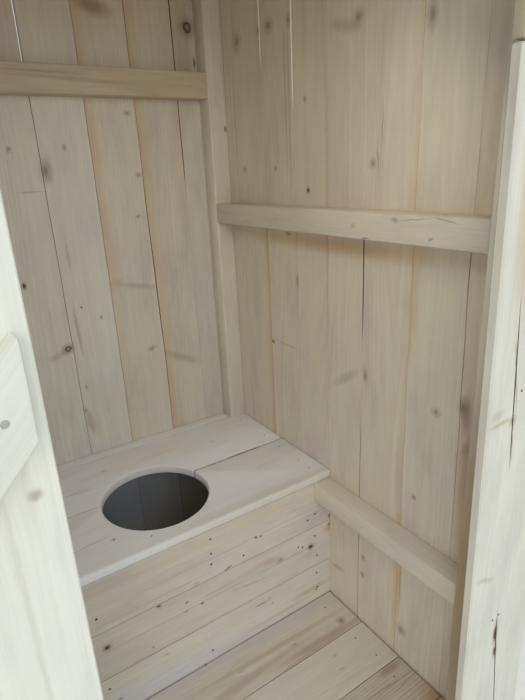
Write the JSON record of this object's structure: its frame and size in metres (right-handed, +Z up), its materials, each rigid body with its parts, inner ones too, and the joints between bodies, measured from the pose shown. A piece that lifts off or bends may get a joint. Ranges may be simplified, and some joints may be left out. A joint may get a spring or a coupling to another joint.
{
  "type": "wooden outhouse",
  "caption": "Small wooden outhouse with board walls, a sloping felt roof, a plank floor, a bench seat with a round hole and a ledged door that stands open.",
  "frame": {"origin": "on the ground in the middle of the room, at the underside of the cross bearer", "axes": "+X to the right of someone who looks in through the door, +Y from the door to the back wall, +Z up"},
  "size_m": [1.5468, 1.3395, 2.1857],
  "materials": {
    "frame_timber": "square sawn softwood, dry and unpainted",
    "wall_boards": "sawn softwood boards, faded to a pale grey beige",
    "floor_boards": "worn softwood floor boards",
    "seat_boards": "planed softwood, pale and smooth",
    "bench_panel": "sawn softwood boards with resin stains",
    "front_boards": "outer boards bleached by the weather, cracked",
    "door_boards": "ledged and braced softwood boards, bleached",
    "roof_boards": "weathered softwood boards",
    "roofing_felt": "mineral roofing felt",
    "hinge_iron": "dull black iron with rust"
  },
  "bodies": {
    "hut": {"sill_front": "frame_timber", "sill_rear": "frame_timber", "sill_left": "frame_timber", "sill_right": "frame_timber", "bench_bearer": "frame_timber", "floor": "floor_boards", "post_front_left": "frame_timber", "post_front_right": "frame_timber", "post_rear_left": "frame_timber", "post_rear_right": "frame_timber", "plate_front": "frame_timber", "plate_rear": "frame_timber", "mid_rail_left": "frame_timber", "mid_rail_right": "frame_timber", "seat_rail_left": "frame_timber", "seat_rail_right": "frame_timber", "seat_rail_rear": "frame_timber", "upper_rail_rear": "frame_timber", "door_header": "frame_timber", "door_stop": "frame_timber", "back_wall": "wall_boards", "left_wall": "wall_boards", "right_wall": "wall_boards", "front_board_left": "front_boards", "front_board_right": "front_boards", "front_board_right_upper": "front_boards", "front_head": "front_boards", "threshold": "front_boards", "rafters": "frame_timber", "roof_deck": "roof_boards", "fascia_front": "roof_boards", "fascia_rear": "roof_boards", "bargeboard_left": "roof_boards", "bargeboard_right": "roof_boards", "roof_felt": "roofing_felt", "seat_board_front": "seat_boards", "seat_board_rear": "seat_boards", "bench_panel": "bench_panel", "bench_studs": "frame_timber", "hinge_plates": "hinge_iron"},
    "door": {"door_leaf": "door_boards", "door_ledges": "door_boards", "door_brace": "door_boards", "door_pull": "door_boards", "hinge_straps": "hinge_iron"}
  },
  "joints": [
    {"name": "door_swing", "type": "hinge", "parent": "hut", "child": "door", "pos_m": [-0.33, -0.5535, 1], "axis": [0, 0, 1], "range_deg": [0, 175]}
  ]
}
